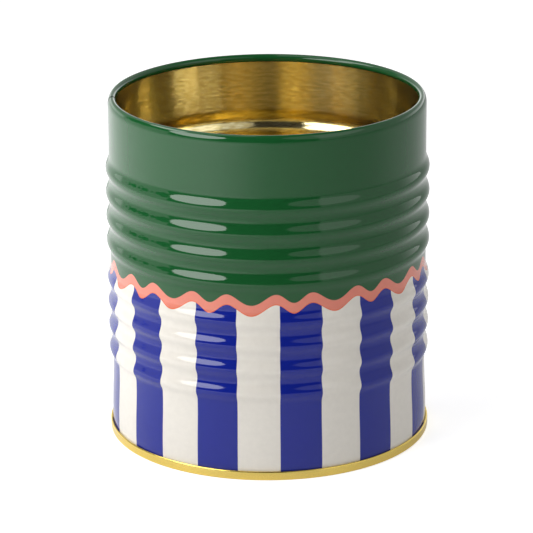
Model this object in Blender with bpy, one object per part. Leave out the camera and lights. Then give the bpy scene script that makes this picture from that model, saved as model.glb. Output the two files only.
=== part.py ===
"""Candle tin: a beaded tinplate body with a lock seam, and a bottom end double seamed onto it.

The frame is in metres, +Z up, with the origin at the centre of the ring that the tin stands on.
Bearings are measured about +Z from -Y towards +X, so bearing 0 faces -Y and bearing 90 faces +X.
"""
import math

import bmesh
import bpy

MM = 0.001

# Driving dimensions
TIN_HEIGHT = 110.0 * MM
WALL_RADIUS = 50.0 * MM          # outer face of the plain wall
SHEET = 0.20 * MM                # thickness of the tinplate
FOLD_GAP = 0.06 * MM             # clearance between folded layers of sheet

# Rolled rim: the wall curls inwards, flush with its own outer face
CURL_RADIUS = 1.3 * MM           # outer radius of the curl
CURL_TURN = math.radians(315)
CURL_STEPS = 5                   # steps of 45 degrees, from the curl's tip to the very top
RIM_DROP = 2.7 * MM              # height over which the curl's outer quarter runs out into the wall
RIM_STEPS = 3

# Stiffening beads, two groups of four, pressed outwards
BEAD_RISE = 1.05 * MM
BEADS_PER_GROUP = 4
BEAD_GROUPS = ((87.0 * MM, 7.90 * MM), (51.1 * MM, 7.75 * MM))    # crest of the top bead, and pitch
BEAD_CROWN = 0.9 * MM            # half height of the crest
BEAD_ABOVE = 3.1 * MM            # from the crest's middle up to the plain wall
BEAD_BELOW = 2.5 * MM            # and down to it

# Pressing the beads leaves the wall slightly barrelled
SWELL = 0.20 * MM
SWELL_MIDDLE = 57.0 * MM
SWELL_REACH = 40.0 * MM

# The wall flares out towards the bottom seam
FLARE_TOP = 22.0 * MM
FLARE_MIDDLE = 14.0 * MM
FLARE = 0.55 * MM
FLARE_AT_MIDDLE = 0.36 * MM

# Lock seam of the body: four layers, flush on the outside
SEAM_BEARING = math.radians(-86.2)
HOOK_WIDTH = 3.2 * MM
SEAM_TOP = 106.4 * MM            # the hooks are notched away above this and below SEAM_FOOT
SEAM_FOOT = 5.2 * MM
JOGGLE_FROM = 0.04 * MM          # run of the step where one edge dips under the other
JOGGLE_TO = 0.30 * MM

# Double seam between the body and the bottom end
SEAM_HEIGHT = 2.9 * MM
NECK_TOP = 4.2 * MM
NECK_FOOT = 3.0 * MM
NECK_DEPTH = 0.05 * MM           # how far the flared wall draws in to enter the seam
BODY_HOOK_TIP = 2.30 * MM
END_HOOK_TIP = 1.0 * MM
SEAM_CORNER = 0.20 * MM          # chamfer of the ring that the tin stands on
COMPOUND_SPREAD = 0.02 * MM      # how far the compound stands past the body hook on each side
COMPOUND_HEADROOM = 0.096 * MM   # room left between the compound and the fold above it

# Bottom end: recessed panel with one expansion ring
PANEL_HEIGHT = 3.4 * MM
RING_DROP = 0.6 * MM
RING_INNER = 22.0 * MM
RING_OUTER = 34.5 * MM
RING_SLOPE = 1.5 * MM
RIDGE_HEIGHT = 4.2 * MM          # raised bead beside the chuck wall
RIDGE_INNER = 45.1 * MM
RIDGE_TOP_INNER = 46.5 * MM
RIDGE_TOP_OUTER = 49.0 * MM

FACETS = 36                      # facets round the plain wall
SMOOTH_ANGLE = math.radians(40)

# Worked out from the driving dimensions
LAYER = SHEET + FOLD_GAP
WALL_CENTRE = WALL_RADIUS - SHEET / 2
FLARED_CENTRE = WALL_CENTRE + FLARE
NECK_CENTRE = FLARED_CENTRE - NECK_DEPTH
CHUCK_CENTRE = NECK_CENTRE - LAYER
END_HOOK_CENTRE = NECK_CENTRE + LAYER
BODY_HOOK_CENTRE = NECK_CENTRE + 2 * LAYER
SEAMING_CENTRE = NECK_CENTRE + 3 * LAYER
FOLD_CENTRE = -(LAYER + SHEET / 2)           # centre of the outer lock seam fold, along the wall


def offset_line(points, distance):
    """Move an open line sideways by distance, to the right of its direction, with mitred corners."""
    directions = []
    for (x0, y0), (x1, y1) in zip(points, points[1:]):
        length = math.hypot(x1 - x0, y1 - y0)
        directions.append(((x1 - x0) / length, (y1 - y0) / length))
    moved = []
    for index, (x, y) in enumerate(points):
        before = directions[max(index - 1, 0)]
        after = directions[min(index, len(directions) - 1)]
        normal_x = before[1] + after[1]
        normal_y = -before[0] - after[0]
        length = math.hypot(normal_x, normal_y)
        normal_x, normal_y = normal_x / length, normal_y / length
        mitre = normal_x * after[1] - normal_y * after[0]
        moved.append((x + normal_x * distance / mitre, y + normal_y * distance / mitre))
    return moved


def arc(centre, radius, start, end, steps):
    """Points of an arc, both ends included, with angles in radians."""
    points = []
    for step in range(steps + 1):
        angle = start + (end - start) * step / steps
        points.append((centre[0] + radius * math.cos(angle), centre[1] + radius * math.sin(angle)))
    return points


def turned_point(radius, bearing, height):
    return (radius * math.sin(bearing), -radius * math.cos(bearing), height)


def swell(height):
    """How far the barrelled wall stands outside its plain radius."""
    return SWELL * max(0.0, 1.0 - ((height - SWELL_MIDDLE) / SWELL_REACH) ** 2)


def wall_line():
    """Middle of the wall sheet as (radius, height), from the curl's tip down to the body hook's tip."""
    curl = CURL_RADIUS - SHEET / 2
    curl_centre = (WALL_CENTRE - curl, TIN_HEIGHT - CURL_RADIUS)
    line = arc(curl_centre, curl, CURL_TURN, math.pi / 2, CURL_STEPS)
    for step in range(1, RIM_STEPS + 1):
        angle = math.pi / 2 * (1.0 - step / RIM_STEPS)
        drop = RIM_DROP * (1.0 - math.sin(angle))
        line.append((curl_centre[0] + curl * math.cos(angle), TIN_HEIGHT - SHEET / 2 - drop))
    line.append((WALL_CENTRE, SEAM_TOP))
    for top, pitch in BEAD_GROUPS:
        for bead in range(BEADS_PER_GROUP):
            crest = top - bead * pitch
            wall = WALL_CENTRE + swell(crest)
            line.append((wall, crest + BEAD_ABOVE))
            line.append((wall + BEAD_RISE, crest + BEAD_CROWN))
            line.append((wall + BEAD_RISE, crest - BEAD_CROWN))
            line.append((wall, crest - BEAD_BELOW))
    line.append((WALL_CENTRE, FLARE_TOP))
    line.append((WALL_CENTRE + FLARE_AT_MIDDLE, FLARE_MIDDLE))
    line.append((FLARED_CENTRE, SEAM_FOOT))
    line.append((FLARED_CENTRE, NECK_TOP))
    line.append((NECK_CENTRE, NECK_FOOT))
    turn_height = 2 * LAYER + SHEET / 2
    line += arc((END_HOOK_CENTRE, turn_height), LAYER, -math.pi, 0.0, 4)
    line.append((BODY_HOOK_CENTRE, BODY_HOOK_TIP))
    return line


def seam_line():
    """Middle of the sheet round the tin as (run, depth), with the lock seam's folds at both ends.

    The run is measured along the wall from the visible seam line, the depth outwards from the wall.
    The edge that starts the sheet dips under the other, runs back and folds outwards; the edge that
    ends it stays flush and folds inwards, so that the two hooks hold each other.
    """
    whole_run = 2 * math.pi * WALL_CENTRE
    under_fold = -HOOK_WIDTH - FOLD_GAP
    line = [(FOLD_CENTRE - FOLD_GAP, -LAYER)]
    line += arc((under_fold, -2 * LAYER), LAYER, math.pi / 2, 3 * math.pi / 2, 3)
    line.append((JOGGLE_FROM, -3 * LAYER))
    line.append((JOGGLE_TO, 0.0))
    first_wall = len(line) - 1
    for facet in range(FACETS):
        bearing = -math.pi + 2 * math.pi * facet / FACETS
        run = ((bearing - SEAM_BEARING) % (2 * math.pi)) * WALL_CENTRE
        line.append((run, 0.0))
    line[first_wall + 1:] = sorted(line[first_wall + 1:])
    last_wall = len(line)
    line += arc((whole_run + FOLD_CENTRE, -LAYER), LAYER, math.pi / 2, -math.pi / 2, 3)
    line.append((whole_run - HOOK_WIDTH, -2 * LAYER))
    return line, first_wall, last_wall


def wall_bearings(line, first_wall, last_wall):
    """Bearings of the wall's columns, which the turned pieces share so that facets stay parallel."""
    return [SEAM_BEARING + run / WALL_CENTRE for run, depth in line[first_wall:last_wall + 1]]


def finish_mesh(name, bm, material):
    bmesh.ops.recalc_face_normals(bm, faces=bm.faces)
    mesh = bpy.data.meshes.new(name)
    bm.to_mesh(mesh)
    bm.free()
    mesh.shade_smooth()
    mesh.set_sharp_from_angle(angle=SMOOTH_ANGLE)
    mesh.materials.append(material)
    piece = bpy.data.objects.new(name, mesh)
    bpy.context.scene.collection.objects.link(piece)
    return piece


def build_body(material):
    """The wall sheet as a grid of cells with thickness, notched at the lock seam's two ends."""
    rows = wall_line()
    columns, first_wall, last_wall = seam_line()
    row_faces = {side: offset_line(rows, side) for side in (-1.0, 1.0)}
    column_faces = {side: offset_line(columns, side * SHEET / 2) for side in (-1.0, 1.0)}
    bm = bmesh.new()
    corners = {}

    def notched(row):
        return rows[row][1] > SEAM_TOP + FOLD_GAP or rows[row][1] < SEAM_FOOT - FOLD_GAP

    def present(row, column):
        if not (0 <= row < len(rows) - 1 and 0 <= column < len(columns) - 1):
            return False
        on_wall = first_wall <= column < last_wall
        return on_wall or not (notched(row) or notched(row + 1))

    def corner(row, column, side):
        key = (row, column, side)
        if key not in corners:
            run, depth = column_faces[side][column]
            middle = rows[row]
            outward = row_faces[-1.0][row]
            radius = middle[0] + (outward[0] - middle[0]) * depth
            height = middle[1] + (outward[1] - middle[1]) * depth
            bearing = SEAM_BEARING + run / WALL_CENTRE
            corners[key] = bm.verts.new(turned_point(radius, bearing, height))
        return corners[key]

    for row in range(len(rows) - 1):
        for column in range(len(columns) - 1):
            if not present(row, column):
                continue
            cell = [(row, column), (row, column + 1), (row + 1, column + 1), (row + 1, column)]
            beyond = [(row - 1, column), (row, column + 1), (row + 1, column), (row, column - 1)]
            for side in (-1.0, 1.0):
                bm.faces.new([corner(r, c, side) for r, c in cell])
            for index, neighbour in enumerate(beyond):
                if not present(*neighbour):
                    start, end = cell[index], cell[(index + 1) % 4]
                    bm.faces.new([corner(*start, -1.0), corner(*end, -1.0),
                                  corner(*end, 1.0), corner(*start, 1.0)])
    return finish_mesh("tin_body", bm, material)


def turn_outline(name, outline, bearings, material):
    """Turn a closed outline of (radius, height) about the axis, through the given bearings."""
    bm = bmesh.new()
    rings = []
    for radius, height in outline:
        on_axis = radius < FOLD_GAP
        if on_axis:
            rings.append([bm.verts.new((0.0, 0.0, height))])
        else:
            rings.append([bm.verts.new(turned_point(radius, bearing, height)) for bearing in bearings])
    for index, ring in enumerate(rings):
        following = rings[(index + 1) % len(rings)]
        for first in range(len(bearings)):
            second = (first + 1) % len(bearings)
            corners = [ring[first % len(ring)], ring[second % len(ring)],
                       following[second % len(following)], following[first % len(following)]]
            distinct = list(dict.fromkeys(corners))
            if len(distinct) > 2:
                bm.faces.new(distinct)
    return finish_mesh(name, bm, material)


def end_line():
    """Middle of the bottom end's sheet, from its centre out to the tip of its hook."""
    line = [(0.0, PANEL_HEIGHT)]
    line += [(RING_INNER, PANEL_HEIGHT), (RING_INNER + RING_SLOPE, PANEL_HEIGHT - RING_DROP)]
    line += [(RING_OUTER - RING_SLOPE, PANEL_HEIGHT - RING_DROP), (RING_OUTER, PANEL_HEIGHT)]
    line += [(RIDGE_INNER, PANEL_HEIGHT), (RIDGE_TOP_INNER, RIDGE_HEIGHT)]
    line += [(RIDGE_TOP_OUTER, RIDGE_HEIGHT), (CHUCK_CENTRE, PANEL_HEIGHT)]
    line += [(CHUCK_CENTRE, SHEET / 2 + SEAM_CORNER), (CHUCK_CENTRE + SEAM_CORNER, SHEET / 2)]
    line += [(SEAMING_CENTRE - SEAM_CORNER, SHEET / 2), (SEAMING_CENTRE, SHEET / 2 + SEAM_CORNER)]
    fold_height = SEAM_HEIGHT - SHEET / 2 - LAYER
    line += arc((BODY_HOOK_CENTRE, fold_height), LAYER, 0.0, math.pi, 4)
    line.append((END_HOOK_CENTRE, END_HOOK_TIP))
    return line


def build_bottom_end(bearings, material):
    line = end_line()
    outline = offset_line(line, SHEET / 2) + offset_line(line, -SHEET / 2)[::-1]
    return turn_outline("bottom_end", outline, bearings, material)


def build_compound(bearings, material):
    """Sealing compound in the pocket between the body hook's tip and the fold above it."""
    inner = BODY_HOOK_CENTRE - SHEET / 2 - COMPOUND_SPREAD
    outer = BODY_HOOK_CENTRE + SHEET / 2 + COMPOUND_SPREAD
    foot = BODY_HOOK_TIP + FOLD_GAP
    top = SEAM_HEIGHT - SHEET - COMPOUND_HEADROOM
    outline = [(inner, foot), (outer, foot), (outer, top), (inner, top)]
    return turn_outline("seam_compound", outline, bearings, material)


def plain_material(name, colour, roughness, metallic):
    material = bpy.data.materials.new(name)
    material.use_nodes = True
    shader = material.node_tree.nodes["Principled BSDF"]
    shader.inputs["Base Color"].default_value = (*colour, 1.0)
    shader.inputs["Roughness"].default_value = roughness
    shader.inputs["Metallic"].default_value = metallic
    material.diffuse_color = (*colour, 1.0)
    return material


def main():
    for item in list(bpy.data.objects):
        bpy.data.objects.remove(item, do_unlink=True)
    green_enamel = plain_material("printed_green_enamel", (0.035, 0.125, 0.045), 0.22, 0.0)
    gold_lacquer = plain_material("gold_lacquered_tinplate", (0.56, 0.41, 0.09), 0.3, 1.0)
    grey_compound = plain_material("lining_compound", (0.42, 0.42, 0.40), 0.8, 0.0)
    bearings = wall_bearings(*seam_line())
    build_body(green_enamel)
    build_bottom_end(bearings, gold_lacquer)
    build_compound(bearings, grey_compound)


main()
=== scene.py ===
import math

import bmesh
import bpy
from mathutils import Matrix, Vector


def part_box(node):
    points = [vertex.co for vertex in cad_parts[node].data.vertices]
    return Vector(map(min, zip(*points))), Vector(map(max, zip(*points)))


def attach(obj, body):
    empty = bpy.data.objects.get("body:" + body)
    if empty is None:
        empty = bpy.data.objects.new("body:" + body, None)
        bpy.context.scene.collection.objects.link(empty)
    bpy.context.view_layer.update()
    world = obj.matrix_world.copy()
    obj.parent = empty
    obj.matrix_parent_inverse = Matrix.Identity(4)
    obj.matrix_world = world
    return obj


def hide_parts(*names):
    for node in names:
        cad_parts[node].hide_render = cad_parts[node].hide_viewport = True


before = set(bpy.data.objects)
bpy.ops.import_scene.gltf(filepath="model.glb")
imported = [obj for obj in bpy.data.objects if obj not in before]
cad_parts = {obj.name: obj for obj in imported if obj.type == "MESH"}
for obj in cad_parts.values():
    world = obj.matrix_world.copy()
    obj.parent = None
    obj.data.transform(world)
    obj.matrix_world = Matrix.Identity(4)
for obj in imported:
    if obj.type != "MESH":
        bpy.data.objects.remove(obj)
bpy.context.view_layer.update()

END_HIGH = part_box("bottom_end")[1]
COMPOUND_LOW, COMPOUND_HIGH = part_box("seam_compound")

MM = 0.001

# ---------------------------------------------------------------- sizes of the tin
SHEET = 0.20 * MM
FOLD_GAP = 0.06 * MM
LAYER = SHEET + FOLD_GAP
BEAD_RISE = 1.05 * MM
BEAD_VALLEY = 0.06 * MM          # how far the wall draws in between two beads
BEAD_GROUPS = ((87.0 * MM, 7.90 * MM), (51.1 * MM, 7.75 * MM))   # crest of the top bead, and pitch
BEADS_PER_GROUP = 4
BEAD_SHARPNESS = 1.25            # above 1 the crests are tighter than the valleys
UPPER_SHARE = 0.55               # a bead's upper slope is a little longer than its lower one

TIN_HEIGHT = 110.0 * MM
SWELL = 0.20 * MM                # the pressing of the beads leaves the wall slightly barrelled
SWELL_MIDDLE = 57.0 * MM
SWELL_REACH = 40.0 * MM
FLARE = 0.55 * MM                # the wall widens by this much towards the bottom seam
FLARE_TOP = 22.0 * MM
FLARE_EASE = 0.15                # share of its height over which the flare starts gently
NECK_DEPTH = 0.05 * MM           # how far the flared wall draws in to enter the seam
WALL_RADIUS = END_HIGH.x - 3 * LAYER + NECK_DEPTH - FLARE
WALL_CENTRE = WALL_RADIUS - SHEET / 2
SEAMING_CENTRE = END_HIGH.x - SHEET / 2
BODY_HOOK_CENTRE = SEAMING_CENTRE - LAYER
END_HOOK_CENTRE = SEAMING_CENTRE - 2 * LAYER
NECK_CENTRE = SEAMING_CENTRE - 3 * LAYER
CHUCK_CENTRE = SEAMING_CENTRE - 4 * LAYER

CURL_RADIUS = 1.3 * MM
RIM_DROP = 2.7 * MM              # height over which the curl's outer quarter runs out into the wall
CURL_TURN = math.radians(315)
CURL_STEPS = 20
RIM_STEPS = 14
SEAM_BEARING = math.radians(-86.2)
HOOK_WIDTH = 3.2 * MM
RIM_SLIT = 0.85 * MM             # run of the notched edge, which leaves a slit across the rim
SEAM_TOP = 106.4 * MM
SEAM_FOOT = 5.2 * MM
SEAM_HEIGHT = 2.9 * MM
NECK_TOP = 4.2 * MM
NECK_FOOT = 3.0 * MM
SHAPED_FROM = 98.0 * MM          # the wall is plain above this
WALL_ROWS = 170
BODY_FACETS = 240
END_FACETS = 240
COMPOUND_FACETS = 180
STRIPES = 24

# where the sheet climbs out of the lock seam: run in millimetres, and depth in layers
JOG = ((0.02, -2.96), (0.06, -2.8), (0.26, -0.2), (0.31, -0.04), (0.38, 0.0))

PANEL_HEIGHT = 3.4 * MM          # middle of the bottom end's flat panel
RING_HEIGHT = 2.8 * MM           # the expansion ring lies lower than the panel
RIDGE_HEIGHT = 4.2 * MM          # and the ridge beside the seam lies higher
RING_RADII = (22.0 * MM, 23.5 * MM, 33.0 * MM, 34.5 * MM)
RIDGE_RADII = (45.1 * MM, 46.5 * MM, 49.0 * MM)
END_BEND = 0.36 * MM             # how far from a corner its bend starts
END_HOOK_TIP = 1.0 * MM

WHOLE_TURN = 2 * math.pi


# ---------------------------------------------------------------- line and sheet tools
def offset_line(points, distance):
    """Move an open line sideways by distance, to the right of its direction, with mitred corners."""
    directions = []
    for (x0, y0), (x1, y1) in zip(points, points[1:]):
        length = math.hypot(x1 - x0, y1 - y0)
        directions.append(((x1 - x0) / length, (y1 - y0) / length))
    moved = []
    for index, (x, y) in enumerate(points):
        before = directions[max(index - 1, 0)]
        after = directions[min(index, len(directions) - 1)]
        normal_x = before[1] + after[1]
        normal_y = -before[0] - after[0]
        length = math.hypot(normal_x, normal_y)
        normal_x, normal_y = normal_x / length, normal_y / length
        mitre = normal_x * after[1] - normal_y * after[0]
        moved.append((x + normal_x * distance / mitre, y + normal_y * distance / mitre))
    return moved


def arc(centre, radius, start, end, steps):
    """Points of an arc, both ends included, with angles in radians."""
    points = []
    for step in range(steps + 1):
        angle = start + (end - start) * step / steps
        points.append((centre[0] + radius * math.cos(angle), centre[1] + radius * math.sin(angle)))
    return points


def run(start, end, steps):
    """Evenly spaced points after start, up to and including end."""
    return [(start[0] + (end[0] - start[0]) * step / steps, start[1] + (end[1] - start[1]) * step / steps)
            for step in range(1, steps + 1)]


def rounded(points, radius, steps):
    """Replace each inner corner of a line by a small curve that starts radius away from it."""
    line = [points[0]]
    for before, corner, after in zip(points, points[1:], points[2:]):
        near = []
        for neighbour in (before, after):
            length = math.hypot(neighbour[0] - corner[0], neighbour[1] - corner[1])
            share = min(radius / length, 0.49)
            near.append((corner[0] + (neighbour[0] - corner[0]) * share,
                         corner[1] + (neighbour[1] - corner[1]) * share))
        for step in range(steps + 1):
            t = step / steps
            line.append(tuple((1 - t) ** 2 * a + 2 * t * (1 - t) * b + t * t * c
                              for a, b, c in zip(near[0], corner, near[1])))
    line.append(points[-1])
    return line


def turned_point(radius, bearing, height):
    return (radius * math.sin(bearing), -radius * math.cos(bearing), height)


def finish_piece(name, bm, materials, sharp_degrees, node):
    """Turn a bmesh into a smooth-shaded piece that rides on the tin and stands for its CAD node."""
    bmesh.ops.recalc_face_normals(bm, faces=bm.faces)
    mesh = bpy.data.meshes.new(name)
    bm.to_mesh(mesh)
    bm.free()
    for material in materials:
        mesh.materials.append(material)
    mesh.shade_smooth()
    mesh.set_sharp_from_angle(angle=math.radians(sharp_degrees))
    piece = bpy.data.objects.new(name, mesh)
    bpy.context.scene.collection.objects.link(piece)
    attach(piece, "root")
    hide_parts(node)
    return piece


# ---------------------------------------------------------------- the wall
def wall_offset(height):
    """How far the wall stands outside its plain radius at a height: swell, flare and beads."""
    offset = SWELL * max(0.0, 1.0 - ((height - SWELL_MIDDLE) / SWELL_REACH) ** 2)
    down = max(0.0, (FLARE_TOP - height) / (FLARE_TOP - SEAM_FOOT))
    eased = (1.0 + FLARE_EASE) * down * down / (down + FLARE_EASE)
    offset += FLARE * math.sin(math.pi / 2 * eased)
    for top, pitch in BEAD_GROUPS:
        bottom = top - (BEADS_PER_GROUP - 1) * pitch
        above, below = UPPER_SHARE * pitch, (1.0 - UPPER_SHARE) * pitch
        if bottom - below < height < top + above:
            from_crest = (height - bottom + below) % pitch - below
            past = from_crest / above if from_crest > 0 else from_crest / below
            valley = BEAD_VALLEY if bottom <= height <= top else 0.0
            crest = (0.5 + 0.5 * math.cos(math.pi * past)) ** BEAD_SHARPNESS
            offset += (BEAD_RISE + valley) * crest - valley
    return offset


def wall_line():
    """Middle of the wall sheet as (radius, height), from the curl's tip down to the body hook's tip."""
    curl = CURL_RADIUS - SHEET / 2
    line = arc((WALL_CENTRE - curl, TIN_HEIGHT - CURL_RADIUS), curl, CURL_TURN, math.pi / 2, CURL_STEPS)
    for step in range(1, RIM_STEPS + 1):
        angle = math.pi / 2 * (1.0 - step / RIM_STEPS)
        drop = RIM_DROP * (1.0 - math.sin(angle))
        line.append((WALL_CENTRE - curl + curl * math.cos(angle), TIN_HEIGHT - SHEET / 2 - drop))
    line += run(line[-1], (WALL_CENTRE, SEAM_TOP), 2)
    line += run(line[-1], (WALL_CENTRE, SHAPED_FROM), 4)
    for step in range(1, WALL_ROWS + 1):
        height = SHAPED_FROM + (SEAM_FOOT - SHAPED_FROM) * step / WALL_ROWS
        line.append((WALL_CENTRE + wall_offset(height), height))
    line += [(WALL_CENTRE + FLARE, NECK_TOP), (NECK_CENTRE, NECK_FOOT)]
    line += arc((END_HOOK_CENTRE, 2 * LAYER + SHEET / 2), LAYER, -math.pi, 0.0, 8)
    line.append((BODY_HOOK_CENTRE, COMPOUND_LOW.z - FOLD_GAP))
    return line


def seam_line(facets):
    """Middle of the sheet round the tin as (run, depth), with the lock seam's folds at both ends."""
    whole_run = WHOLE_TURN * WALL_CENTRE
    fold_centre = -(LAYER + SHEET / 2)
    under_fold = -HOOK_WIDTH - FOLD_GAP
    line = [(fold_centre - FOLD_GAP, -LAYER)]
    line += run(line[-1], (under_fold + FOLD_GAP, -LAYER), 2)
    line += arc((under_fold, -2 * LAYER), LAYER, math.pi / 2, 3 * math.pi / 2, 8)
    line += run(line[-1], (-0.06 * MM, -3 * LAYER), 3)
    line += [(along * MM, depth * LAYER) for along, depth in JOG]
    first_wall = len(line) - 1
    line.append((RIM_SLIT, 0.0))
    start, end = line[-1][0], whole_run + fold_centre
    line += [(start + (end - start) * facet / facets, 0.0) for facet in range(1, facets)]
    last_wall = len(line)
    line += arc((end, -LAYER), LAYER, math.pi / 2, -math.pi / 2, 8)
    line += run(line[-1], (whole_run - HOOK_WIDTH, -2 * LAYER), 3)
    return line, first_wall, last_wall


PRINTED, LACQUERED, CUT_EDGE = 0, 1, 2


def make_body(materials):
    """The whole body as one sheet: printed outside, lacquered inside, bare steel on its cut edges."""
    rows = wall_line()
    columns, first_wall, last_wall = seam_line(BODY_FACETS)
    row_faces = offset_line(rows, -1.0)
    column_faces = {side: offset_line(columns, side * SHEET / 2) for side in (-1.0, 1.0)}
    bm = bmesh.new()
    corners = {}

    def notched(row):
        return rows[row][1] > SEAM_TOP + FOLD_GAP or rows[row][1] < SEAM_FOOT - FOLD_GAP

    def present(row, column):
        if not (0 <= row < len(rows) - 1 and 0 <= column < len(columns) - 1):
            return False
        if column == first_wall and rows[row][1] > SEAM_TOP + FOLD_GAP:
            return False
        return first_wall <= column < last_wall or not (notched(row) or notched(row + 1))

    def corner(row, column, side):
        key = (row, column, side)
        if key not in corners:
            along, depth = column_faces[side][column]
            middle, outward = rows[row], row_faces[row]
            radius = middle[0] + (outward[0] - middle[0]) * depth
            height = middle[1] + (outward[1] - middle[1]) * depth
            corners[key] = bm.verts.new(turned_point(radius, SEAM_BEARING + along / WALL_CENTRE, height))
        return corners[key]

    for row in range(len(rows) - 1):
        for column in range(len(columns) - 1):
            if not present(row, column):
                continue
            cell = [(row, column), (row, column + 1), (row + 1, column + 1), (row + 1, column)]
            beyond = [(row - 1, column), (row, column + 1), (row + 1, column), (row, column - 1)]
            for side, finish in ((-1.0, PRINTED), (1.0, LACQUERED)):
                face = bm.faces.new([corner(r, c, side) for r, c in cell])
                face.material_index = finish
            for index, neighbour in enumerate(beyond):
                if not present(*neighbour):
                    start, end = cell[index], cell[(index + 1) % 4]
                    face = bm.faces.new([corner(*start, -1.0), corner(*end, -1.0),
                                         corner(*end, 1.0), corner(*start, 1.0)])
                    face.material_index = CUT_EDGE
    return finish_piece("printed_body", bm, materials, 50, "tin_body")


# ---------------------------------------------------------------- the turned pieces
def turn_outline(outline, facets):
    """Turn a closed outline of (radius, height) about the axis into a bmesh."""
    bm = bmesh.new()
    bearings = [WHOLE_TURN * facet / facets for facet in range(facets)]
    rings = []
    for radius, height in outline:
        if radius < FOLD_GAP:
            rings.append([bm.verts.new((0.0, 0.0, height))])
        else:
            rings.append([bm.verts.new(turned_point(radius, bearing, height)) for bearing in bearings])
    for index, ring in enumerate(rings):
        following = rings[(index + 1) % len(rings)]
        for first in range(facets):
            second = (first + 1) % facets
            corners = [ring[first % len(ring)], ring[second % len(ring)],
                       following[second % len(following)], following[first % len(following)]]
            distinct = list(dict.fromkeys(corners))
            if len(distinct) > 2:
                bm.faces.new(distinct)
    return bm


def end_line():
    """Middle of the bottom end's sheet, from its centre out to the tip of its hook."""
    ring_heights = (PANEL_HEIGHT, RING_HEIGHT, RING_HEIGHT, PANEL_HEIGHT)
    ridge_heights = (PANEL_HEIGHT, RIDGE_HEIGHT, RIDGE_HEIGHT)
    corners = [(0.0, PANEL_HEIGHT), *zip(RING_RADII, ring_heights), *zip(RIDGE_RADII, ridge_heights)]
    corners += [(CHUCK_CENTRE, PANEL_HEIGHT), (CHUCK_CENTRE, SHEET / 2), (SEAMING_CENTRE, SHEET / 2)]
    fold_height = SEAM_HEIGHT - SHEET / 2 - LAYER
    corners.append((SEAMING_CENTRE, fold_height))
    line = rounded(corners, END_BEND, 5)
    line += arc((BODY_HOOK_CENTRE, fold_height), LAYER, 0.0, math.pi, 12)[1:]
    line.append((END_HOOK_CENTRE, END_HOOK_TIP))
    return line


def make_bottom_end(materials):
    line = end_line()
    outline = offset_line(line, SHEET / 2) + offset_line(line, -SHEET / 2)[::-1]
    bm = turn_outline(outline, END_FACETS)
    return finish_piece("gold_bottom_end", bm, materials, 40, "bottom_end")


def make_compound(materials):
    inner = BODY_HOOK_CENTRE - SHEET / 2 - FOLD_GAP / 3
    outer = BODY_HOOK_CENTRE + SHEET / 2 + FOLD_GAP / 3
    corners = [(inner, COMPOUND_LOW.z), (outer, COMPOUND_LOW.z), (outer, COMPOUND_HIGH.z),
               (inner, COMPOUND_HIGH.z)]
    bm = turn_outline(corners, COMPOUND_FACETS)
    return finish_piece("seam_compound_ring", bm, materials, 40, "seam_compound")


# ---------------------------------------------------------------- node helpers
class Sheet:
    """A node tree with short ways to add nodes and join them."""

    def __init__(self, tree):
        self.tree = tree

    def add(self, kind, **settings):
        node = self.tree.nodes.new(kind)
        for name, value in settings.items():
            setattr(node, name, value)
        return node

    def join(self, source, target):
        self.tree.links.new(source, target)

    def feed(self, socket, value):
        if isinstance(value, (int, float, tuple)):
            socket.default_value = value
        else:
            self.join(value, socket)

    def math(self, operation, first, second=0.0, third=0.0):
        node = self.add("ShaderNodeMath", operation=operation)
        for socket, value in zip(node.inputs, (first, second, third)):
            self.feed(socket, value)
        return node.outputs[0]

    def swing(self, turn, times, first):
        """A cosine that swings a number of times in one turn, with a crest at first."""
        phase = self.math("MULTIPLY", self.math("SUBTRACT", turn, first), times * WHOLE_TURN)
        return self.math("COSINE", phase)

    def step(self, value, edge, softness):
        """0 below edge and 1 above it, over a narrow soft border."""
        node = self.add("ShaderNodeMapRange", interpolation_type="SMOOTHSTEP")
        self.feed(node.inputs["Value"], value)
        self.feed(node.inputs["From Min"], edge - softness)
        self.feed(node.inputs["From Max"], edge + softness)
        return node.outputs["Result"]

    def mix(self, share, first, second):
        node = self.add("ShaderNodeMix", data_type="RGBA")
        self.feed(node.inputs[0], share)
        self.feed(node.inputs[6], first)
        self.feed(node.inputs[7], second)
        return node.outputs[2]

    def noise(self, vector, scale, detail=2.0):
        node = self.add("ShaderNodeTexNoise")
        self.feed(node.inputs["Vector"], vector)
        node.inputs["Scale"].default_value = scale
        node.inputs["Detail"].default_value = detail
        return node.outputs["Fac"]


def new_group(name, inputs, outputs):
    tree = bpy.data.node_groups.new(name, "ShaderNodeTree")
    for socket, kind, value in inputs:
        made = tree.interface.new_socket(name=socket, in_out="INPUT", socket_type=kind)
        made.default_value = value
    for socket, kind in outputs:
        tree.interface.new_socket(name=socket, in_out="OUTPUT", socket_type=kind)
    sheet = Sheet(tree)
    return sheet, sheet.add("NodeGroupInput"), sheet.add("NodeGroupOutput")


def new_material(name, **values):
    """A material with a Principled BSDF whose plain values are set straight on its sockets."""
    material = bpy.data.materials.new(name)
    material.use_nodes = True
    sheet = Sheet(material.node_tree)
    shader = material.node_tree.nodes["Principled BSDF"]
    for socket, value in values.items():
        shader.inputs[socket.replace("_", " ")].default_value = value
    return material, sheet, shader


def grey(value):
    return (value, value, value, 1.0)


def place_group(sheet, tree, **values):
    node = sheet.add("ShaderNodeGroup", node_tree=tree)
    for socket, value in values.items():
        sheet.feed(node.inputs[socket.replace("_", " ")], value)
    return node


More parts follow.
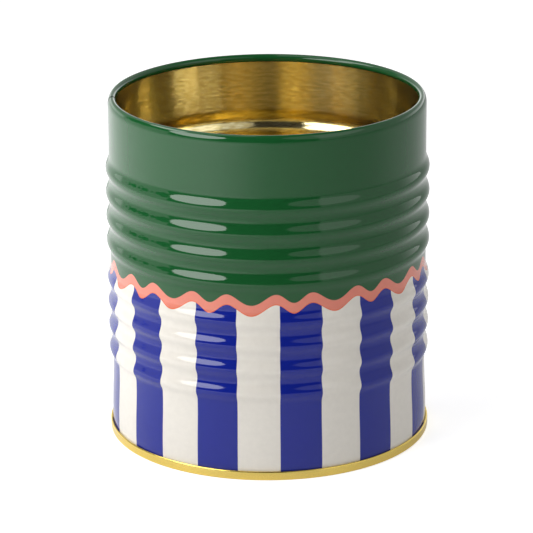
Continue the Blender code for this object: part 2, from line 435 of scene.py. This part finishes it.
# ---------------------------------------------------------------- shared effects
def round_the_tin_group():
    """Where a point lies on the tin: bearing in turns from the lock seam, height and run in millimetres."""
    sheet, _, out = new_group("round_the_tin", [], [
        ("Turn", "NodeSocketFloat"), ("Height mm", "NodeSocketFloat"), ("Unrolled", "NodeSocketVector")])
    coords = sheet.add("ShaderNodeTexCoord")
    split = sheet.add("ShaderNodeSeparateXYZ")
    sheet.join(coords.outputs["Object"], split.inputs[0])
    backward = sheet.math("MULTIPLY", split.outputs["Y"], -1.0)
    bearing = sheet.math("ARCTAN2", split.outputs["X"], backward)
    from_seam = sheet.math("SUBTRACT", bearing, SEAM_BEARING)
    turn = sheet.math("FRACT", sheet.math("DIVIDE", from_seam, WHOLE_TURN))
    height = sheet.math("DIVIDE", split.outputs["Z"], MM)
    along = sheet.math("MULTIPLY", turn, WHOLE_TURN * WALL_RADIUS / MM)
    joined = sheet.add("ShaderNodeCombineXYZ")
    sheet.join(along, joined.inputs["X"])
    sheet.join(height, joined.inputs["Y"])
    sheet.join(turn, out.inputs["Turn"])
    sheet.join(height, out.inputs["Height mm"])
    sheet.join(joined.outputs[0], out.inputs["Unrolled"])
    return sheet.tree


def rolling_grain_group(round_the_tin):
    """Fine marks of the rolled sheet: streaks along the rolling direction and a short mottle; the inner
    gold lacquer also uses its streaks for painted glints.
    """
    sheet, given, out = new_group("rolling_grain", [
        ("Streak length", "NodeSocketFloat", 12.0), ("Streak scale", "NodeSocketFloat", 3.0),
        ("Mottle scale", "NodeSocketFloat", 1.0)],
        [("Streaks", "NodeSocketFloat"), ("Mottle", "NodeSocketFloat")])
    place = place_group(sheet, round_the_tin)
    split = sheet.add("ShaderNodeSeparateXYZ")
    sheet.join(place.outputs["Unrolled"], split.inputs[0])
    stretched = sheet.add("ShaderNodeCombineXYZ")
    along = sheet.math("DIVIDE", split.outputs["X"], given.outputs["Streak length"])
    sheet.join(along, stretched.inputs["X"])
    sheet.join(split.outputs["Y"], stretched.inputs["Y"])
    streaks = sheet.add("ShaderNodeTexNoise")
    sheet.join(stretched.outputs[0], streaks.inputs["Vector"])
    sheet.join(given.outputs["Streak scale"], streaks.inputs["Scale"])
    streaks.inputs["Detail"].default_value = 3.0
    mottle = sheet.add("ShaderNodeTexNoise")
    sheet.join(place.outputs["Unrolled"], mottle.inputs["Vector"])
    sheet.join(given.outputs["Mottle scale"], mottle.inputs["Scale"])
    mottle.inputs["Detail"].default_value = 4.0
    sheet.join(streaks.outputs["Fac"], out.inputs["Streaks"])
    sheet.join(mottle.outputs["Fac"], out.inputs["Mottle"])
    return sheet.tree


# ---------------------------------------------------------------- materials
GREEN = (0.008, 0.085, 0.021, 1.0)
BLUE = (0.006, 0.016, 0.26, 1.0)
CREAM = (0.80, 0.76, 0.69, 1.0)
PINK = (0.78, 0.24, 0.17, 1.0)
PINK_EDGE = (0.80, 0.17, 0.08, 1.0)

WAVE_HEIGHT = 56.6               # middle of the wavy band, in millimetres
WAVE_SWING = 1.55
WAVE_HALF_WIDTH = 1.68
WAVE_FIRST = (1.5 + 86.2) / 360.0      # turns from the lock seam to a crest of the wave
WAVE_LEAN = 0.38                 # crests lean towards each other in pairs, as if cut by hand
WAVE_LIFT = 0.27                 # every second trough is this much shallower, in millimetres
WAVE_DRIFT = 0.55                # the band wanders up and down twice round the tin
DRIFT_FIRST = (25.0 + 86.2) / 360.0
PRINT_EDGE = 0.05                # softness of a printed edge, in millimetres


def print_pattern_group(round_the_tin):
    """The print: green above a wavy pink band, blue and cream stripes below it."""
    sheet, _, out = new_group("print_pattern", [], [("Color", "NodeSocketColor")])
    place = place_group(sheet, round_the_tin)
    stripe = sheet.math("MULTIPLY", place.outputs["Turn"], STRIPES)
    pair = sheet.math("FRACT", sheet.math("MULTIPLY", stripe, 0.5))
    stripe_mm = WHOLE_TURN * WALL_RADIUS / MM / STRIPES
    soft = PRINT_EDGE / stripe_mm / 2
    blue_share = sheet.math("SUBTRACT", sheet.step(pair, soft, soft), sheet.step(pair, 0.5, soft))
    stripes = sheet.mix(blue_share, CREAM, BLUE)
    pairs = sheet.swing(place.outputs["Turn"], STRIPES / 2, WAVE_FIRST)
    between = sheet.swing(place.outputs["Turn"], STRIPES / 2, WAVE_FIRST + 1 / STRIPES / 2)
    drift = sheet.swing(place.outputs["Turn"], 2, DRIFT_FIRST)
    from_crest = sheet.math("SUBTRACT", place.outputs["Turn"], WAVE_FIRST)
    phase = sheet.math("MULTIPLY", from_crest, STRIPES * WHOLE_TURN)
    wave = sheet.math("COSINE", sheet.math("MULTIPLY_ADD", pairs, -WAVE_LEAN, phase))
    centre = sheet.math("MULTIPLY_ADD", wave, WAVE_SWING, WAVE_HEIGHT)
    centre = sheet.math("MULTIPLY_ADD", between, WAVE_LIFT, centre)
    centre = sheet.math("MULTIPLY_ADD", drift, WAVE_DRIFT, centre)
    above = sheet.math("SUBTRACT", place.outputs["Height mm"], centre)
    colour = sheet.mix(sheet.step(above, -WAVE_HALF_WIDTH, PRINT_EDGE), stripes, PINK_EDGE)
    colour = sheet.mix(sheet.step(above, -WAVE_HALF_WIDTH + 0.3, 0.12), colour, PINK)
    colour = sheet.mix(sheet.step(above, WAVE_HALF_WIDTH, PRINT_EDGE), colour, GREEN)
    sheet.join(colour, out.inputs["Color"])
    return sheet.tree


def printed_enamel(round_the_tin, grain):
    material, sheet, shader = new_material("printed_enamel", IOR=1.5, Metallic=0.0)
    pattern = place_group(sheet, print_pattern_group(round_the_tin))
    marks = place_group(sheet, grain, Streak_length=6.0, Streak_scale=0.35, Mottle_scale=0.5)
    depth = sheet.math("MULTIPLY_ADD", marks.outputs["Mottle"], 0.10, 0.95)
    tint = sheet.add("ShaderNodeHueSaturation")
    sheet.join(pattern.outputs["Color"], tint.inputs["Color"])
    sheet.join(depth, tint.inputs["Value"])
    sheet.join(tint.outputs["Color"], shader.inputs["Base Color"])
    sheet.join(sheet.math("MULTIPLY_ADD", marks.outputs["Mottle"], 0.05, 0.035), shader.inputs["Roughness"])
    bump = sheet.add("ShaderNodeBump")
    bump.inputs["Strength"].default_value = 0.05
    bump.inputs["Distance"].default_value = 0.02 * MM
    sheet.join(marks.outputs["Streaks"], bump.inputs["Height"])
    sheet.join(bump.outputs["Normal"], shader.inputs["Normal"])
    return material


# The inner lacquer shows the first gold in short lighter dashes over the darker second gold: painted
# glints, which stand in for glints of light.
GOLD = (0.88, 0.775, 0.445, 1.0)
GOLD_BETWEEN_PAINTED_GLINTS = (0.72, 0.595, 0.28, 1.0)
SEAM_GOLD = (0.88, 0.66, 0.17, 1.0)


def gold_lacquer(name, grain, colour, gold_between_glints, rough, spread, strength):
    material, sheet, shader = new_material(
        name, Metallic=1.0, IOR=1.5, Anisotropic=0.9, Anisotropic_Rotation=0.25)
    around = sheet.add("ShaderNodeTangent", direction_type="RADIAL", axis="Z")
    sheet.join(around.outputs[0], shader.inputs["Tangent"])
    marks = place_group(sheet, grain, Streak_length=14.0, Streak_scale=2.2, Mottle_scale=0.9)
    glints = place_group(sheet, grain, Streak_length=4.0, Streak_scale=1.3)
    # Painted glints: the base colour takes the lighter gold in short horizontal dashes that stand in for
    # glints of light; the same noise also bumps the surface.
    share = sheet.step(glints.outputs["Streaks"], 0.5, 0.16)
    sheet.join(sheet.mix(share, gold_between_glints, colour), shader.inputs["Base Color"])
    roughness = sheet.math("MULTIPLY_ADD", marks.outputs["Streaks"], spread, rough)
    sheet.join(roughness, shader.inputs["Roughness"])
    heights = sheet.math("MULTIPLY_ADD", marks.outputs["Mottle"], 0.6, marks.outputs["Streaks"])
    heights = sheet.math("MULTIPLY_ADD", glints.outputs["Streaks"], 1.6, heights)
    bump = sheet.add("ShaderNodeBump")
    bump.inputs["Strength"].default_value = strength
    bump.inputs["Distance"].default_value = 0.05 * MM
    sheet.join(heights, bump.inputs["Height"])
    sheet.join(bump.outputs["Normal"], shader.inputs["Normal"])
    return material


def bare_steel(grain):
    material, sheet, shader = new_material("bare_cut_edge", Metallic=1.0, IOR=2.5)
    marks = place_group(sheet, grain, Streak_length=2.0, Streak_scale=6.0, Mottle_scale=4.0)
    colour = sheet.mix(marks.outputs["Mottle"], (0.16, 0.16, 0.15, 1.0), (0.45, 0.44, 0.42, 1.0))
    sheet.join(colour, shader.inputs["Base Color"])
    sheet.join(sheet.math("MULTIPLY_ADD", marks.outputs["Streaks"], 0.3, 0.3), shader.inputs["Roughness"])
    return material


def lining_compound(grain):
    material, sheet, shader = new_material("lining_compound", IOR=1.45)
    marks = place_group(sheet, grain, Streak_length=1.0, Streak_scale=5.0, Mottle_scale=2.0)
    colour = sheet.mix(marks.outputs["Mottle"], (0.30, 0.30, 0.29, 1.0), (0.48, 0.48, 0.46, 1.0))
    sheet.join(colour, shader.inputs["Base Color"])
    sheet.join(sheet.math("MULTIPLY_ADD", marks.outputs["Streaks"], 0.2, 0.65), shader.inputs["Roughness"])
    return material


# ---------------------------------------------------------------- camera, floor and light
LENS = 198.7
CAMERA_DISTANCE = 0.9398
CAMERA_ELEVATION = math.radians(18.52)
CAMERA_ROLL = math.radians(-0.384)
AIM = Vector((-0.00056, 0.0, 0.05256))


def make_camera():
    data = bpy.data.cameras.new("camera")
    data.lens = LENS
    data.sensor_width = 36.0
    data.clip_start = 0.01
    camera = bpy.data.objects.new("camera", data)
    bpy.context.scene.collection.objects.link(camera)
    forward = Vector((0.0, math.cos(CAMERA_ELEVATION), -math.sin(CAMERA_ELEVATION)))
    level = Vector((1.0, 0.0, 0.0))
    upright = level.cross(forward)
    right = level * math.cos(CAMERA_ROLL) + upright * math.sin(CAMERA_ROLL)
    up = upright * math.cos(CAMERA_ROLL) - level * math.sin(CAMERA_ROLL)
    turn = Matrix((right, up, -forward)).transposed().to_4x4()
    camera.matrix_world = Matrix.Translation(AIM - forward * CAMERA_DISTANCE) @ turn
    bpy.context.scene.camera = camera


FLOOR_SEEN = 0.70                # lift that makes the floor read as white, for the camera only
FLOOR_GLOW = 0.24                # light the floor sends up all round the tin
FLOOR_LEFT = 0.60                # the floor is brighter beside the left lights
FLOOR_FRONT = -0.16              # and a little darker towards the camera


def make_floor():
    bm = bmesh.new()
    bmesh.ops.create_circle(bm, cap_ends=True, radius=8.0, segments=96)
    mesh = bpy.data.meshes.new("floor")
    bm.to_mesh(mesh)
    bm.free()
    floor = bpy.data.objects.new("floor", mesh)
    bpy.context.scene.collection.objects.link(floor)
    floor.location.z = -0.05 * MM
    material, sheet, shader = new_material("pale_floor", Roughness=0.9)
    coords = sheet.add("ShaderNodeTexCoord")
    speck = sheet.noise(coords.outputs["Object"], 3.0)
    sheet.join(sheet.mix(speck, grey(0.74), grey(0.77)), shader.inputs["Base Color"])
    shader.inputs["Specular IOR Level"].default_value = 0.0
    split = sheet.add("ShaderNodeSeparateXYZ")
    sheet.join(coords.outputs["Object"], split.inputs[0])
    right = sheet.step(split.outputs["X"], -0.12, 0.15)
    glow = sheet.math("MULTIPLY_ADD", right, -FLOOR_LEFT, FLOOR_GLOW + FLOOR_LEFT)
    behind = sheet.step(split.outputs["Y"], -0.05, 0.12)
    glow = sheet.math("ADD", glow, sheet.math("MULTIPLY_ADD", behind, -FLOOR_FRONT, FLOOR_FRONT))
    path = sheet.add("ShaderNodeLightPath")
    seen = sheet.mix(path.outputs["Is Camera Ray"], glow, grey(FLOOR_SEEN))
    sheet.join(seen, shader.inputs["Emission Color"])
    shader.inputs["Emission Strength"].default_value = 1.0
    mesh.materials.append(material)


# levels that the studio's surround shows the tin
LEVEL_LOW = 1.6
LEVEL_MIDDLE = 0.65
LEVEL_HIGH = 0.1
LEVEL_RIGHT = 0.6
LEVEL_FRONT = 0.03
LEVEL_SWEEP = 0.9                # a low, uneven bright sweep at the far left
LEVEL_BACKDROP = 1.0             # what the camera sees behind the floor
LOW_EDGE, HIGH_EDGE = 0.20, 0.75            # as the height of a direction of length 1
FRONT_LEFT, FRONT_RIGHT = -122.0, 37.0      # bearings in degrees between which the front is dark
RIGHT_END = 120.0
SWEEP_RIGHT = -74.0
SWEEP_RISE, SWEEP_BASE, SWEEP_UNEVEN = 0.003, 0.31, 0.30

# name, bearing and elevation in degrees, distance, width and height in metres, radiance, shape
LIGHTS = (
    ("left_octabox", -51.8, 26.5, 0.8, 0.585, 0.42, 5.6, "ELLIPSE"),
    ("right_wall", 44.5, 35.0, 1.2, 1.25, 0.95, 0.6, "ELLIPSE"),
    ("overhead_left", -95.0, 62.0, 0.55, 0.5, 0.5, 1.0, "RECTANGLE"),
    ("left_upper", -88.0, 44.0, 0.8, 0.42, 0.26, 5.0, "ELLIPSE"),
)


def softbox(name, azimuth, elevation, distance, width, height, strength, shape):
    """A flat light that faces the tin; azimuth is a bearing and strength is its radiance."""
    data = bpy.data.lights.new(name, "AREA")
    data.shape = shape
    data.size = width
    data.size_y = height
    area = width * height * (math.pi / 4 if shape == "ELLIPSE" else 1.0)
    data.energy = strength * math.pi * area
    light = bpy.data.objects.new(name, data)
    bpy.context.scene.collection.objects.link(light)
    azimuth, elevation = math.radians(azimuth), math.radians(elevation)
    away = Vector((math.sin(azimuth) * math.cos(elevation), -math.cos(azimuth) * math.cos(elevation),
                   math.sin(elevation)))
    light.location = Vector((0.0, 0.0, 0.05)) + away * distance
    light.rotation_mode = "QUATERNION"
    light.rotation_quaternion = away.to_track_quat("Z", "Y")
    light.visible_camera = False


def make_light():
    scene = bpy.context.scene
    scene.view_settings.view_transform = "Standard"
    world = bpy.data.worlds.new("studio")
    scene.world = world
    world.use_nodes = True
    sheet = Sheet(world.node_tree)
    background = world.node_tree.nodes["Background"]
    coords = sheet.add("ShaderNodeTexCoord")
    split = sheet.add("ShaderNodeSeparateXYZ")
    sheet.join(coords.outputs["Generated"], split.inputs[0])
    azimuth = sheet.math("ARCTAN2", split.outputs["X"], sheet.math("MULTIPLY", split.outputs["Y"], -1.0))
    degrees = sheet.math("DEGREES", azimuth)
    front = sheet.math("MULTIPLY", sheet.step(degrees, FRONT_LEFT, 4.0),
                       sheet.math("SUBTRACT", 1.0, sheet.step(degrees, FRONT_RIGHT, 1.0)))
    low = sheet.math("SUBTRACT", 1.0, sheet.step(split.outputs["Z"], LOW_EDGE, 0.05))
    high = sheet.step(split.outputs["Z"], HIGH_EDGE, 0.15)
    level = sheet.mix(low, grey(LEVEL_MIDDLE), grey(LEVEL_LOW))
    right_side = sheet.math("MULTIPLY", sheet.step(degrees, FRONT_RIGHT, 1.0),
                            sheet.math("SUBTRACT", 1.0, sheet.step(degrees, RIGHT_END, 20.0)))
    level = sheet.mix(right_side, level, grey(LEVEL_RIGHT))
    level = sheet.mix(front, level, grey(LEVEL_FRONT))
    uneven = sheet.noise(coords.outputs["Generated"], 9.0, 1.0)
    sweep_top = sheet.math("MULTIPLY_ADD", degrees, SWEEP_RISE, SWEEP_BASE)
    sweep_top = sheet.math("MULTIPLY_ADD", uneven, SWEEP_UNEVEN, sweep_top)
    below_sweep = sheet.math("LESS_THAN", split.outputs["Z"], sweep_top)
    left_sweep = sheet.math("MULTIPLY", below_sweep, sheet.math("LESS_THAN", degrees, SWEEP_RIGHT))
    level = sheet.mix(sheet.math("MULTIPLY", left_sweep, front), level, grey(LEVEL_SWEEP))
    level = sheet.mix(high, level, grey(LEVEL_HIGH))
    path = sheet.add("ShaderNodeLightPath")
    level = sheet.mix(path.outputs["Is Camera Ray"], level, grey(LEVEL_BACKDROP))
    sheet.join(level, background.inputs["Color"])
    for light in LIGHTS:
        softbox(*light)


# ---------------------------------------------------------------- making it all
def main():
    round_the_tin = round_the_tin_group()
    grain = rolling_grain_group(round_the_tin)
    enamel = printed_enamel(round_the_tin, grain)
    inner_gold = gold_lacquer("gold_inner_lacquer", grain, GOLD, GOLD_BETWEEN_PAINTED_GLINTS, 0.13, 0.06, 0.25)
    seam_gold = gold_lacquer("gold_seam_lacquer", grain, SEAM_GOLD, SEAM_GOLD, 0.16, 0.1, 0.1)
    make_camera()
    make_body([enamel, inner_gold, bare_steel(grain)])
    make_bottom_end([seam_gold])
    make_compound([lining_compound(grain)])
    make_floor()
    make_light()


main()
